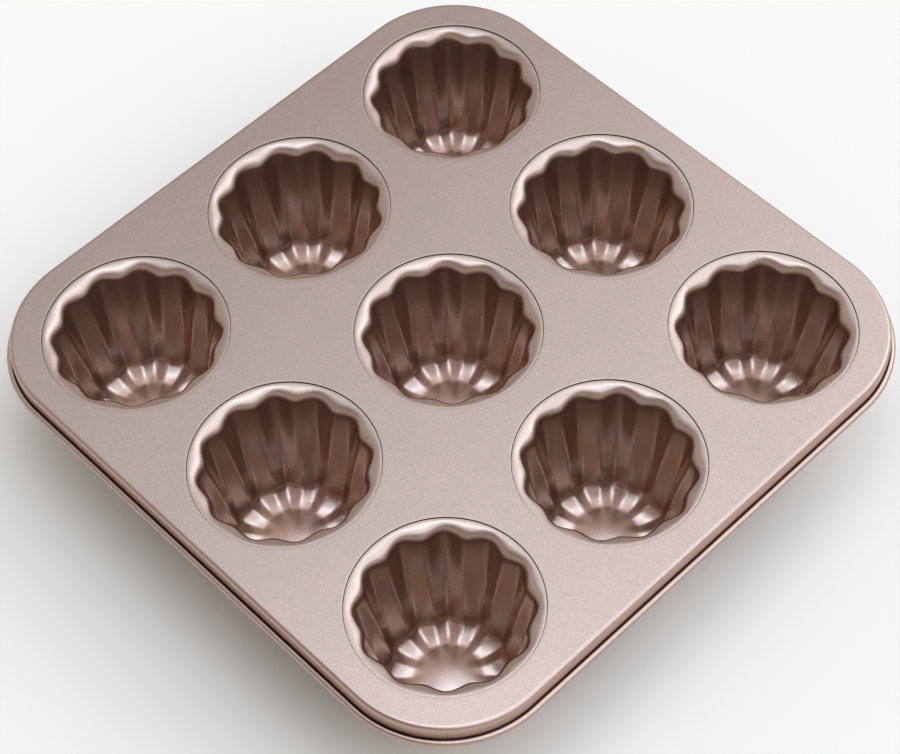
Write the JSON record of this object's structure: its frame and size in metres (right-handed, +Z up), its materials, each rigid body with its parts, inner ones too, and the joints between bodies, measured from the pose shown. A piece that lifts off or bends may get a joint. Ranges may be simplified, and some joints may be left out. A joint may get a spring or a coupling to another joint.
{
  "type": "canele pan",
  "caption": "Square canele pan: deep fluted tapering mould cups, each lock-seamed into a collared hole of a flat pressed deck with a short skirt and a rolled edge.",
  "frame": {"origin": "centre of the underside, on the surface that the cup floors stand on", "axes": "+Z up out of the cups, +X to the right and +Y to the back along the two rows of cups"},
  "size_m": [0.2218, 0.2218, 0.0457],
  "materials": {
    "coating": "satin champagne non-stick coating on sheet steel"
  },
  "bodies": {
    "root": {"deck": "coating", "cup_left_front": "coating", "cup_centre_front": "coating", "cup_right_front": "coating", "cup_left_middle": "coating", "cup_centre_middle": "coating", "cup_right_middle": "coating", "cup_left_back": "coating", "cup_centre_back": "coating", "cup_right_back": "coating"}
  },
  "joints": []
}
